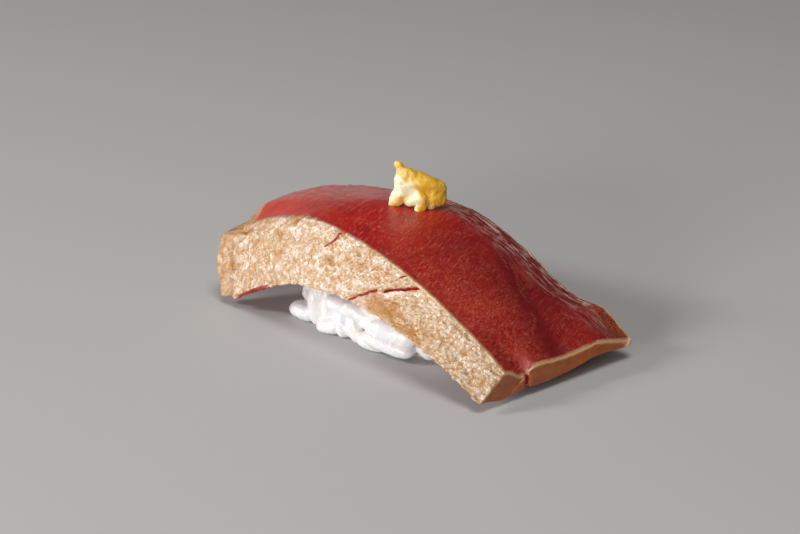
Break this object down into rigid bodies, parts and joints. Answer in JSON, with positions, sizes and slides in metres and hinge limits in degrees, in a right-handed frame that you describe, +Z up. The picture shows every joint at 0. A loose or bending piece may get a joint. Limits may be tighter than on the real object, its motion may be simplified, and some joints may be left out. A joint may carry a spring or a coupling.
{
  "type": "tuna nigiri",
  "caption": "Arched slice of lean tuna with a seared, cracked near edge, draped over a pressed pad of rice and topped with a dab of mustard.",
  "frame": {"origin": "middle of the object's box in X and Y, on the surface it stands on", "axes": "+X along the slice to its thin, drooping end, +Y across it away from the side whose seared edge shows, +Z up"},
  "size_m": [0.0692, 0.0345, 0.0273],
  "materials": {
    "tuna": "moist deep red flesh with pale fibre streaks, and a seared tan crust on its cut edges",
    "rice": "moist, slightly translucent white grains",
    "mustard": "soft, grainy pale yellow paste"
  },
  "bodies": {
    "root": {"tuna_slice": "tuna", "rice_pad": "rice", "mustard_dab": "mustard"}
  },
  "joints": []
}
